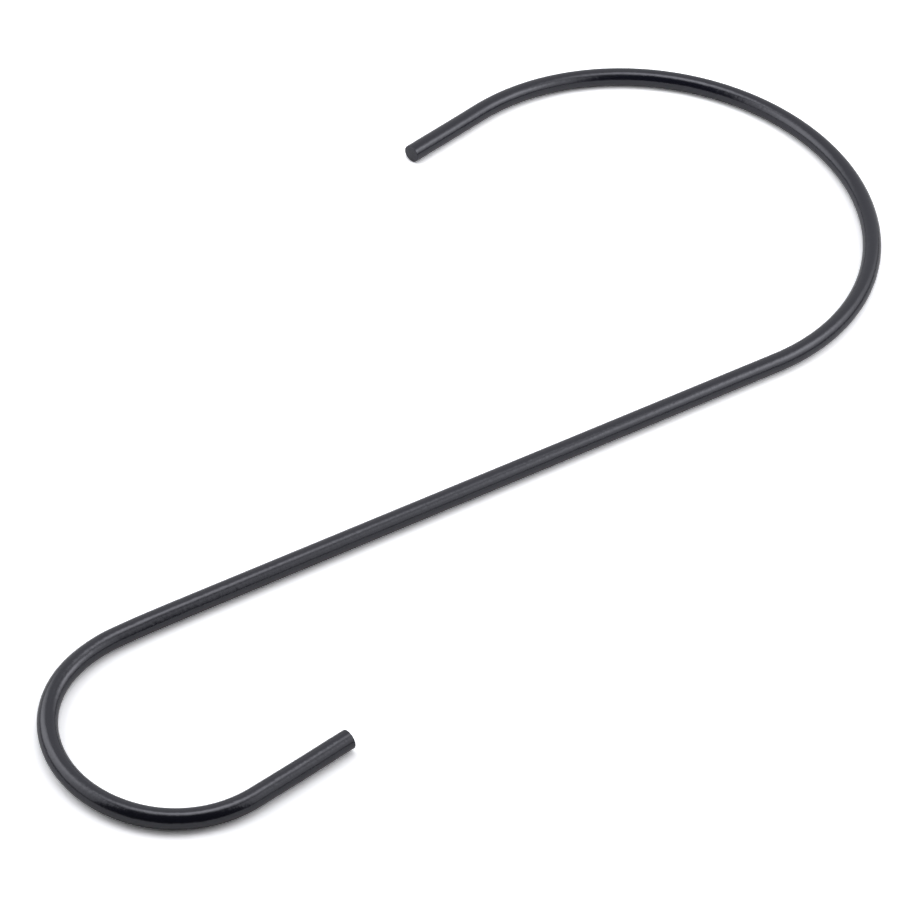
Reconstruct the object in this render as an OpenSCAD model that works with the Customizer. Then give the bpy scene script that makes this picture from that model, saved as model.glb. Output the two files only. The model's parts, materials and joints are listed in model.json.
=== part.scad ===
/* [Rod] */
// Diameter of the finished rod in its straight stretches
rod_d = 5.2; // [3:0.1:8]
// How much fuller the rod is across its bends, from being bent
bend_swell = 0.02; // [0.01:0.01:0.1]
// Width of the broken edge round each cut tip
tip_chamfer = 0.3; // [0.1:0.05:1]

/* [Overall] */
// Length over both bends
overall_length = 305; // [250:1:500]

/* [Large hook] */
// Inside diameter of the large bend
large_inside = 124.6; // [60:0.1:160]
// Angle by which the large bend closes past a half circle
large_turn_in = 13.6; // [0:0.1:25]
// Straight rod left after the large bend
large_tail = 27.7; // [5:0.1:45]

/* [Small hook] */
// Inside diameter of the small bend
small_inside = 56.6; // [30:0.1:70]
// Angle by which the small bend closes past a half circle
small_turn_in = 8.4; // [0:0.1:25]
// Straight rod left after the small bend
small_tail = 29.5; // [5:0.1:45]

/* [Hidden] */
$fn = 64;

rod_r = rod_d / 2;
bend_rod_r = rod_r + bend_swell / 2;
large_r = large_inside / 2 + bend_rod_r;
small_r = small_inside / 2 + bend_rod_r;
shank_len = overall_length - large_r - small_r - 2 * bend_rod_r;
// Length by which a straight runs into the fuller bend it grows from
run_in = 0.2;
coat_color = [0.07, 0.07, 0.08];

// A straight of the rod along +X from the origin, with its end there inside the bend.
module straight(len) {
    translate([-run_in, 0, 0]) rotate([0, 90, 0]) cylinder(r = rod_r, h = len + run_in);
}

// A straight that ends in a tip sawn square, with its rim broken by a chamfer.
module tail(len) {
    straight(len - tip_chamfer);
    translate([len - tip_chamfer, 0, 0]) rotate([0, 90, 0])
        cylinder(r1 = rod_r, r2 = rod_r - tip_chamfer, h = tip_chamfer);
}

// A bend that leaves the origin along +X and turns to the left.
module bend(r, sweep) {
    translate([0, r, 0]) rotate([0, 0, -90]) rotate_extrude(angle = sweep)
        translate([r, 0]) circle(r = bend_rod_r);
}

// Carries its children from the origin to the far end of that bend, turned with the rod.
module after_bend(r, sweep) {
    translate([0, r, 0]) rotate([0, 0, sweep]) translate([0, -r, 0]) children();
}

// One end of the hook: its bend, and the tail that the bend leads into.
module hook_end(r, turn_in, tail_len) {
    bend(r, 180 + turn_in);
    after_bend(r, 180 + turn_in) tail(tail_len);
}

// The whole hook is one rod, bent one way at one end and the other way at the other, lying flat.
module s_hook() {
    color(coat_color) translate([small_r + bend_rod_r - overall_length / 2, small_r - large_r, bend_rod_r]) {
        straight(shank_len + run_in);
        translate([shank_len, 0, 0]) hook_end(large_r, large_turn_in, large_tail);
        rotate([0, 0, 180]) hook_end(small_r, small_turn_in, small_tail);
    }
}

s_hook();
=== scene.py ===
"""The looks of the s hook: one bent rod with a glossy black coat, lying on a pale studio floor."""

import json
from math import atan2, ceil, cos, exp, pi, radians, sin, tau

import bmesh
import bpy
from mathutils import Matrix, Vector, noise

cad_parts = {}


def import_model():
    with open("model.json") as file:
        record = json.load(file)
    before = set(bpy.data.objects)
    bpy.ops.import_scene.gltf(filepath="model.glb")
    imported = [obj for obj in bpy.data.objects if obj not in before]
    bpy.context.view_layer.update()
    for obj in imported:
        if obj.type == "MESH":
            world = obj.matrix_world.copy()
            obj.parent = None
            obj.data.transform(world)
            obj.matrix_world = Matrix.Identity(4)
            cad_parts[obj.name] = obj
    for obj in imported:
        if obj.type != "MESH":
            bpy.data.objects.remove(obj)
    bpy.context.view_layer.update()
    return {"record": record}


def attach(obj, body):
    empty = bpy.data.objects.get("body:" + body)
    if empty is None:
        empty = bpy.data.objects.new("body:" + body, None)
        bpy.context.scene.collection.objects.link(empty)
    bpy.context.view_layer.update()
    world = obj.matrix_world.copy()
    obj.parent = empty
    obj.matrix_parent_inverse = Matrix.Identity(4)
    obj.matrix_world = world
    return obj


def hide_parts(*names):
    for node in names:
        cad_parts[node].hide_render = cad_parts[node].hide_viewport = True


# Lengths are in metres unless the name says otherwise, and angles are in radians.

# A millimetre, the unit in which the frame's record gives a mount's sizes.
MM = 0.001

# The camera, seen from the point that it aims at, which is level with the middle of the rod.
CAMERA_AZIMUTH = radians(-125.4)
CAMERA_ELEVATION = radians(45.19)
CAMERA_ROLL = radians(4.59)
CAMERA_DISTANCE = 0.9158
CAMERA_AIM = Vector((-0.0113, -0.0192, 0.0026))
CAMERA_LENS_MM = 138.96
CAMERA_SENSOR_MM = 36

# Where the bent rod strays from its plan, as a real one does. Each stray is a bell curve: how far along
# the rod from the small tip its peak is, how far to the right it takes the rod there, and its spread.
STRAYS = (
    (0.0, 0.00023, 0.008),  # the small tip
    (0.067, 0.00016, 0.009),  # the small bend, a third of the way from its tail to the shank
    (0.097, -0.00014, 0.007),  # the small bend, two thirds of that way
    (0.1235, 0.00057, 0.008),  # the small bend, just before the shank
    (0.5815, 0.00021, 0.009),  # the large tip
)
# How much longer than planned the tail after the large bend is.
LARGE_TAIL_EXTRA = 0.0002

# The rod's mesh: its sides, its longest steps, and the length over which it swells as a bend begins.
SIDES = 72
BEND_STEP = radians(1.2)
STRAIGHT_STEP = 0.002
SWELL_EASE = 0.004

# A cut tip: how far it reaches past the end of its mount, and the radius of the round on its rim.
TIP_EDGE = 0.0003
TIP_ROUND = 0.00013
TIP_ROUND_STEPS = 5
# Its face: how far the middle stands over the rim, and the shallow dents that the cut left.
TIP_DOME = 0.0001
TIP_DENT = 0.00007
TIP_DENTS_PER_METRE = 650
TIP_FACE_RINGS = 14

# The coat: near black, with slow changes in its gloss and a fine orange peel.
COAT_COLOUR = (0.0035, 0.0037, 0.0085, 1)
COAT_IOR = 1.69
COAT_GLOSS_TINT = (0.935, 0.94, 1, 1)
COAT_SMOOTHEST = 0.16
COAT_ROUGHEST = 0.24
GLOSS_PATCHES_PER_METRE = 160
PEEL_BUMPS_PER_METRE = 650
PEEL_HEIGHT = 0.00006

# The light tent: a cube round the hook with its front open to the camera. Places in it are given
# as right, back and up from the origin, as the camera stands.
TENT_HALF = 0.4
TENT_HEIGHT = 0.8
# The height at which the side walls begin, and the place, counted back from the origin, where the top does.
SIDE_FOOT = 0.01
TOP_FRONT = -0.29
# The distance over which each wall fades out towards its foot, or the top towards its front.
SIDE_FADE = 0.1
TOP_FADE = 0.12
BACK_FADE = 0.03
LAMP_COLOUR = (0.985, 0.99, 1.02)
# The level of the dark room round the tent.
ROOM_LEVEL = 0.045

WHITE = (1, 1, 1, 1)

# The floor: its white as the hook is lit by it, its white as the camera sees it, and the distances
# from the origin over which it turns into a plain glow.
FLOOR_SIZE = 8.0
FLOOR_WHITE = 0.72
FLOOR_WHITE_SEEN = 1.53
HAZE_START = 0.2
HAZE_END = 0.36


def pointing(azimuth, elevation):
    """The unit vector in that direction."""
    return Vector((cos(elevation) * cos(azimuth), cos(elevation) * sin(azimuth), sin(elevation)))


def sideways(heading):
    """The unit vector to the left of a heading on the floor."""
    return Vector((-sin(heading), cos(heading), 0))


# The rod's route


def stray(along):
    """How far to the right of its plan the rod lies there, and by what angle it heads left of it."""
    shift = 0.0
    turn = 0.0
    for peak, most, spread in STRAYS:
        off = (along - peak) / spread
        bell = most * exp(-off ** 2 / 2)
        shift += bell
        turn += bell * off / spread
    return shift, turn


class Route:
    """Stations along the rod's centreline: a point, a heading and the share of a bend's swell there.

    The route itself follows the plan, and each station stands where the real rod strays to from it.
    """

    def __init__(self, point, heading):
        self.point = point
        self.heading = heading
        self.length = 0.0
        self.stations = []
        self.add_station(0.0, 0.0)

    def add_station(self, along, swell):
        """Adds a station at the point that the route has reached, that far along the rod."""
        shift, turn = stray(along)
        self.stations.append((self.point - sideways(self.heading) * shift, self.heading + turn, swell))

    def straight(self, length):
        """Goes straight on for that length."""
        steps = ceil(length / STRAIGHT_STEP)
        start = self.point
        for i in range(1, steps + 1):
            self.point = start + pointing(self.heading, 0) * length * i / steps
            self.add_station(self.length + length * i / steps, 0.0)
        self.length += length

    def bend(self, radius, turn):
        """Turns left by a positive angle, and right by a negative one."""
        reach = radius if turn > 0 else -radius
        centre = self.point + sideways(self.heading) * reach
        start = self.heading
        length = abs(turn) * radius
        steps = ceil(abs(turn) / BEND_STEP)
        for i in range(1, steps + 1):
            self.heading = start + turn * i / steps
            self.point = centre - sideways(self.heading) * reach
            to_nearer_end = min(i, steps - i) / steps * length
            self.add_station(self.length + length * i / steps, min(1.0, to_nearer_end / SWELL_EASE))
        self.length += length


def tip_heading(tip):
    """The heading in which a tip's mount points, from 0 to a full turn."""
    return atan2(tip["axis"][1], tip["axis"][0]) % tau


def bend_beside(seat, tip):
    """The centre and radius of the bend that holds a seat and leads to a tip."""
    heading = tip_heading(tip)
    end = Vector(tip["pos_m"]) - pointing(heading, 0) * tip["dims"]["length_mm"] * MM / 2
    radius = (seat["pos_m"][1] - end.y) / sideways(heading).y
    return end + sideways(heading) * radius, radius


def rod_stations(mounts):
    """The centreline from the small tip to the large one, up to where each tip's edge begins."""
    small_tip, large_tip = mounts["small_tip"], mounts["large_tip"]
    small_centre, small_radius = bend_beside(mounts["load_seat"], small_tip)
    large_centre, large_radius = bend_beside(mounts["rail_seat"], large_tip)
    small_tail = small_tip["dims"]["length_mm"] * MM
    large_tail = large_tip["dims"]["length_mm"] * MM + LARGE_TAIL_EXTRA

    small_heading = tip_heading(small_tip)
    start = Vector(small_tip["pos_m"]) + pointing(small_heading, 0) * small_tail / 2
    route = Route(start, small_heading + pi)
    route.straight(small_tail)
    route.bend(small_radius, -route.heading)
    route.straight(large_centre.x - small_centre.x)
    route.bend(large_radius, tip_heading(large_tip))
    route.straight(large_tail)
    return route.stations


# The rod's mesh


def add_ring(mesh, centre, heading, radius):
    """A circle of vertices square to the heading, with the first one on the rod's left side."""
    ring = []
    for i in range(SIDES):
        angle = tau * i / SIDES
        arm = sideways(heading) * cos(angle) + Vector((0, 0, 1)) * sin(angle)
        ring.append(mesh.verts.new(centre + arm * radius))
    return ring


def cut_height(place, share):
    """How far a point of a cut face stands over its rim, at that share of the face's radius."""
    dents = noise.noise(place * TIP_DENTS_PER_METRE)
    return (1 - share ** 2) * (TIP_DOME + TIP_DENT * dents)


def add_tip(mesh, station, outward, radius):
    """One tip: its rings from the rod to near the middle of its cut face, and the middle itself."""
    point, heading, _ = station
    start = point + outward * (TIP_EDGE - TIP_DOME - TIP_ROUND)
    rings = []
    for i in range(TIP_ROUND_STEPS + 1):
        angle = pi / 2 * i / TIP_ROUND_STEPS
        place = start + outward * TIP_ROUND * sin(angle)
        rings.append(add_ring(mesh, place, heading, radius - TIP_ROUND * (1 - cos(angle))))
    face = start + outward * TIP_ROUND
    for i in range(1, TIP_FACE_RINGS):
        share = 1 - i / TIP_FACE_RINGS
        ring = add_ring(mesh, face, heading, (radius - TIP_ROUND) * share)
        for vertex in ring:
            vertex.co += outward * cut_height(vertex.co, share)
        rings.append(ring)
    return rings, mesh.verts.new(face + outward * cut_height(face, 0))


def build_rod(stations, straight_radius):
    """The whole hook as one closed tube that follows the stations."""
    first, last = stations[0], stations[-1]
    # The hook rests on its bends, where the rod is fullest, so that radius is the centreline's height.
    swollen_radius = first[0].z
    mesh = bmesh.new()
    small_end, small_middle = add_tip(mesh, first, -pointing(first[1], 0), straight_radius)
    large_end, large_middle = add_tip(mesh, last, pointing(last[1], 0), straight_radius)
    rings = small_end[::-1]
    for point, heading, swell in stations:
        radius = straight_radius + (swollen_radius - straight_radius) * swell
        rings.append(add_ring(mesh, point, heading, radius))
    rings += large_end

    for one, two in zip(rings, rings[1:]):
        for i in range(SIDES):
            j = (i + 1) % SIDES
            mesh.faces.new((one[i], two[i], two[j], one[j]))
    for ring, middle in ((rings[0], small_middle), (rings[-1], large_middle)):
        for i in range(SIDES):
            mesh.faces.new((ring[i], ring[(i + 1) % SIDES], middle))
    bmesh.ops.recalc_face_normals(mesh, faces=mesh.faces)

    data = bpy.data.meshes.new("bent_rod")
    mesh.to_mesh(data)
    mesh.free()
    data.shade_smooth()
    rod = bpy.data.objects.new("bent_rod", data)
    bpy.context.scene.collection.objects.link(rod)
    return rod


# Materials


class Graph:
    """The node tree of a material, a world or a lamp, emptied, with short calls that add nodes to it."""

    def __init__(self, owner):
        owner.use_nodes = True
        self.tree = owner.node_tree
        self.tree.nodes.clear()

    def add(self, kind, inputs=None, **settings):
        """Adds a node and returns its outputs. An input is given a value or another node's output."""
        node = self.tree.nodes.new("ShaderNode" + kind)
        for name, value in settings.items():
            setattr(node, name, value)
        for name, value in (inputs or {}).items():
            if isinstance(value, bpy.types.NodeSocket):
                self.tree.links.new(value, node.inputs[name])
            else:
                node.inputs[name].default_value = value
        return node.outputs

    def maths(self, operation, *values):
        """What that operation makes of the values."""
        return self.add("Math", dict(enumerate(values)), operation=operation)["Value"]

    def clouds(self, where, scale, detail, roughness):
        """A cloudy pattern from 0 to 1."""
        inputs = {"Vector": where, "Scale": scale, "Detail": detail, "Roughness": roughness}
        return self.add("TexNoise", inputs)["Fac"]

    def ranged(self, value, low, high):
        """A value from 0 to 1, carried over to the range from low to high."""
        return self.add("MapRange", {"Value": value, "To Min": low, "To Max": high})["Result"]

    def rise(self, value, start, end):
        """A smooth rise from 0 to 1, as the value goes from start to end."""
        inputs = {"Value": value, "From Min": start, "From Max": end}
        return self.add("MapRange", inputs, interpolation_type="SMOOTHSTEP")["Result"]


def black_coat():
    """A near-black gloss powder coat: smooth, with a faint orange peel and a slightly uneven gloss."""
    material = bpy.data.materials.new("black_coat")
    graph = Graph(material)
    where = graph.add("TexCoord")["Object"]
    gloss = graph.clouds(where, GLOSS_PATCHES_PER_METRE, detail=3, roughness=0.6)
    peel = graph.clouds(where, PEEL_BUMPS_PER_METRE, detail=2, roughness=0.5)
    bump = graph.add("Bump", {"Height": peel, "Strength": 1, "Distance": PEEL_HEIGHT})
    shader = graph.add("BsdfPrincipled", {
        "Base Color": COAT_COLOUR,
        "IOR": COAT_IOR,
        "Specular Tint": COAT_GLOSS_TINT,
        "Roughness": graph.ranged(gloss, COAT_SMOOTHEST, COAT_ROUGHEST),
        "Normal": bump["Normal"],
    })
    graph.add("OutputMaterial", {"Surface": shader["BSDF"]})
    return material


def white_floor():
    """White paper that keeps the hook's shadow. Far out it is a plain white glow that lights nothing."""
    material = bpy.data.materials.new("white_floor")
    graph = Graph(material)
    ray = graph.add("LightPath")
    white = graph.ranged(ray["Is Camera Ray"], FLOOR_WHITE, FLOOR_WHITE_SEEN)
    paper = graph.add("BsdfDiffuse", {"Color": white})

    place = graph.add("TexCoord")["Object"]
    distance = graph.add("VectorMath", {0: place}, operation="LENGTH")["Value"]
    haze = graph.rise(distance, HAZE_START, HAZE_END)
    seen = graph.maths("MAXIMUM", ray["Is Camera Ray"], ray["Is Glossy Ray"])
    seen = graph.maths("MAXIMUM", seen, ray["Is Transmission Ray"])
    share = graph.maths("MULTIPLY", haze, seen)

    glow = graph.add("Emission", {"Color": WHITE, "Strength": 1})
    both = graph.add("MixShader", {"Fac": share, 1: paper["BSDF"], 2: glow["Emission"]})
    graph.add("OutputMaterial", {"Surface": both["Shader"]})
    return material


# The studio


def build_floor():
    """One flat sheet under the hook, which isn't part of it."""
    half = FLOOR_SIZE / 2
    data = bpy.data.meshes.new("floor")
    corners = [(-half, -half, 0), (half, -half, 0), (half, half, 0), (-half, half, 0)]
    data.from_pydata(corners, [], [(0, 1, 2, 3)])
    data.materials.append(white_floor())
    floor = bpy.data.objects.new("floor", data)
    bpy.context.scene.collection.objects.link(floor)


def light_world():
    """White where the camera sees it, and a dark room for all else."""
    world = bpy.data.worlds.new("studio")
    bpy.context.scene.world = world
    graph = Graph(world)
    room = graph.add("Background", {"Color": WHITE, "Strength": ROOM_LEVEL})
    white = graph.add("Background", {"Color": WHITE, "Strength": 1})
    seen = graph.add("LightPath")["Is Camera Ray"]
    both = graph.add("MixShader", {"Fac": seen, 1: room["Background"], 2: white["Background"]})
    graph.add("OutputWorld", {"Surface": both["Shader"]})


def tent_axes():
    """The directions right, back and up, as the camera stands."""
    back = -pointing(CAMERA_AZIMUTH, 0)
    up = Vector((0, 0, 1))
    return Matrix((back.cross(up), back, up)).transposed()


def light_face(data, middle, spread, base, peak, fade):
    """Makes a lamp's face brighter round a point, and lets it fade out towards its lower edge.

    The point is given in metres from the face's middle, and the bell round it has its own spread each way.
    The lower edge of a face that looks down is its front one.
    """
    graph = Graph(data)
    place = graph.add("NewGeometry")["Parametric"]
    bell_centre = (0.5 + middle[0] / data.size, 0.5 + middle[1] / data.size_y, 0)
    spreads_per_side = (data.size / spread[0], data.size_y / spread[1], 0)
    off = graph.add("VectorMath", {0: place, 1: bell_centre}, operation="SUBTRACT")["Vector"]
    off = graph.add("VectorMath", {0: off, 1: spreads_per_side}, operation="MULTIPLY")["Vector"]
    square = graph.add("VectorMath", {0: off, 1: off}, operation="DOT_PRODUCT")["Value"]
    bell = graph.maths("EXPONENT", graph.maths("MULTIPLY", square, -0.5))
    level = graph.maths("MULTIPLY_ADD", bell, peak, base)

    height = graph.add("SeparateXYZ", {"Vector": place})["Y"]
    strength = graph.maths("MULTIPLY", level, graph.rise(height, 0, fade / data.size_y))
    emission = graph.add("Emission", {"Color": WHITE, "Strength": strength})
    graph.add("OutputLight", {"Surface": emission["Emission"]})


def tent_wall(name, centre, outward, size, base, peak, hot, spread, fade):
    """One lit wall of the tent. Its cloth shines at the base level, and by the peak more at its hot spot."""
    tent = tent_axes()
    # A lamp shines against its own Z, so that points out of the tent.
    outward = Vector(outward)
    upright = Vector((0, 1, 0)) if outward.z else Vector((0, 0, 1))
    turn = Matrix((upright.cross(outward), upright, outward)).transposed()

    data = bpy.data.lights.new(name, "AREA")
    data.shape = "RECTANGLE"
    data.size, data.size_y = size
    # At this power, a face of strength 1 is as bright as plain white.
    data.energy = pi * data.size * data.size_y
    data.color = LAMP_COLOUR
    hot_spot = turn.transposed() @ (Vector(hot) - Vector(centre))
    light_face(data, hot_spot.xy, spread, base, peak, fade)
    lamp = bpy.data.objects.new(name, data)
    lamp.matrix_world = Matrix.Translation(tent @ Vector(centre)) @ (tent @ turn).to_4x4()
    bpy.context.scene.collection.objects.link(lamp)


def light_tent():
    """The tent's four walls: left, right, top and back."""
    side = (2 * TENT_HALF, TENT_HEIGHT - SIDE_FOOT)
    middle = (TENT_HEIGHT + SIDE_FOOT) / 2
    tent_wall("left_wall", (-TENT_HALF, 0, middle), (-1, 0, 0), side, base=0.785, peak=1.6,
              hot=(-TENT_HALF, 0.04, 0.41), spread=(0.16, 0.41), fade=SIDE_FADE)
    tent_wall("right_wall", (TENT_HALF, 0, middle), (1, 0, 0), side, base=0.88, peak=2.66,
              hot=(TENT_HALF, 0.05, 0.36), spread=(0.131, 0.124), fade=SIDE_FADE)
    top = (2 * TENT_HALF, TENT_HALF - TOP_FRONT)
    tent_wall("top_wall", (0, (TENT_HALF + TOP_FRONT) / 2, TENT_HEIGHT), (0, 0, 1), top, base=0.0, peak=3.45,
              hot=(0.01, 0.095, TENT_HEIGHT), spread=(0.251, 0.164), fade=TOP_FADE)
    back = (2 * TENT_HALF, TENT_HEIGHT)
    tent_wall("back_wall", (0, TENT_HALF, TENT_HEIGHT / 2), (0, 1, 0), back, base=0.675, peak=0.0,
              hot=(0, TENT_HALF, 0), spread=(1, 1), fade=BACK_FADE)


def build_camera():
    """The camera, looking down at the hook from its front left."""
    data = bpy.data.cameras.new("camera")
    data.lens = CAMERA_LENS_MM
    data.sensor_width = CAMERA_SENSOR_MM
    camera = bpy.data.objects.new("camera", data)
    back = pointing(CAMERA_AZIMUTH, CAMERA_ELEVATION)
    turn = back.to_track_quat("Z", "Y").to_matrix() @ Matrix.Rotation(CAMERA_ROLL, 3, "Z")
    camera.matrix_world = Matrix.Translation(CAMERA_AIM + back * CAMERA_DISTANCE) @ turn.to_4x4()
    bpy.context.scene.collection.objects.link(camera)
    bpy.context.scene.camera = camera


def main():
    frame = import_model()
    bpy.context.scene.view_settings.view_transform = "Standard"

    mounts = {m["name"]: m for m in frame["record"]["mounts"]}
    straight_radius = mounts["small_tip"]["dims"]["r_mm"] * MM
    rod = build_rod(rod_stations(mounts), straight_radius)
    rod.data.materials.append(black_coat())
    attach(rod, "root")
    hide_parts("s_hook")

    build_floor()
    build_camera()
    light_world()
    light_tent()


main()
